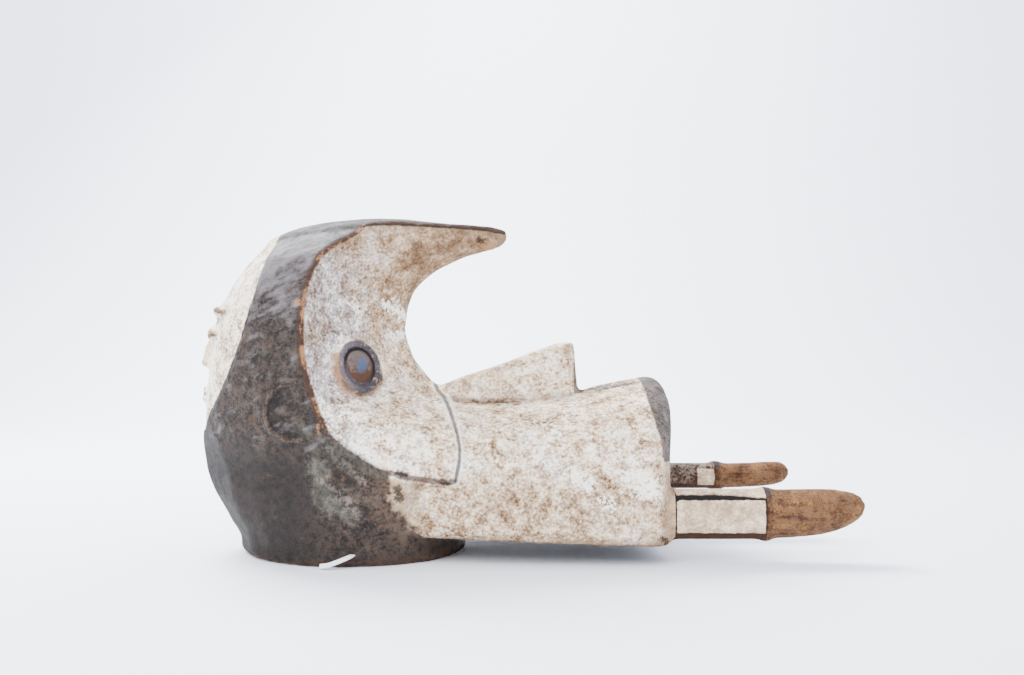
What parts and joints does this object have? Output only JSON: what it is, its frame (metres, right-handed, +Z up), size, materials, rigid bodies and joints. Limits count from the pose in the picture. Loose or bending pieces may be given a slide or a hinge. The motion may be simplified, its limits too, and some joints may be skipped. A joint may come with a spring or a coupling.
{
  "type": "elephant mask",
  "caption": "Carved wooden helmet mask lying on its rim: elephant head with crescent cheeks, horn-like trunk, wedge nose, blunt snout and tusks, small calm face behind.",
  "frame": {"origin": "on the surface the mask stands on, under the middle of its box", "axes": "+X forward to the tusks, +Y to the wearer's left, +Z up"},
  "size_m": [0.6416, 0.229, 0.328],
  "materials": {
    "painted_wood": "worn white and black earth paint on old carved wood",
    "white_strip": "plain white"
  },
  "bodies": {
    "root": {"mask": "painted_wood", "tie_strip": "white_strip"}
  },
  "joints": []
}
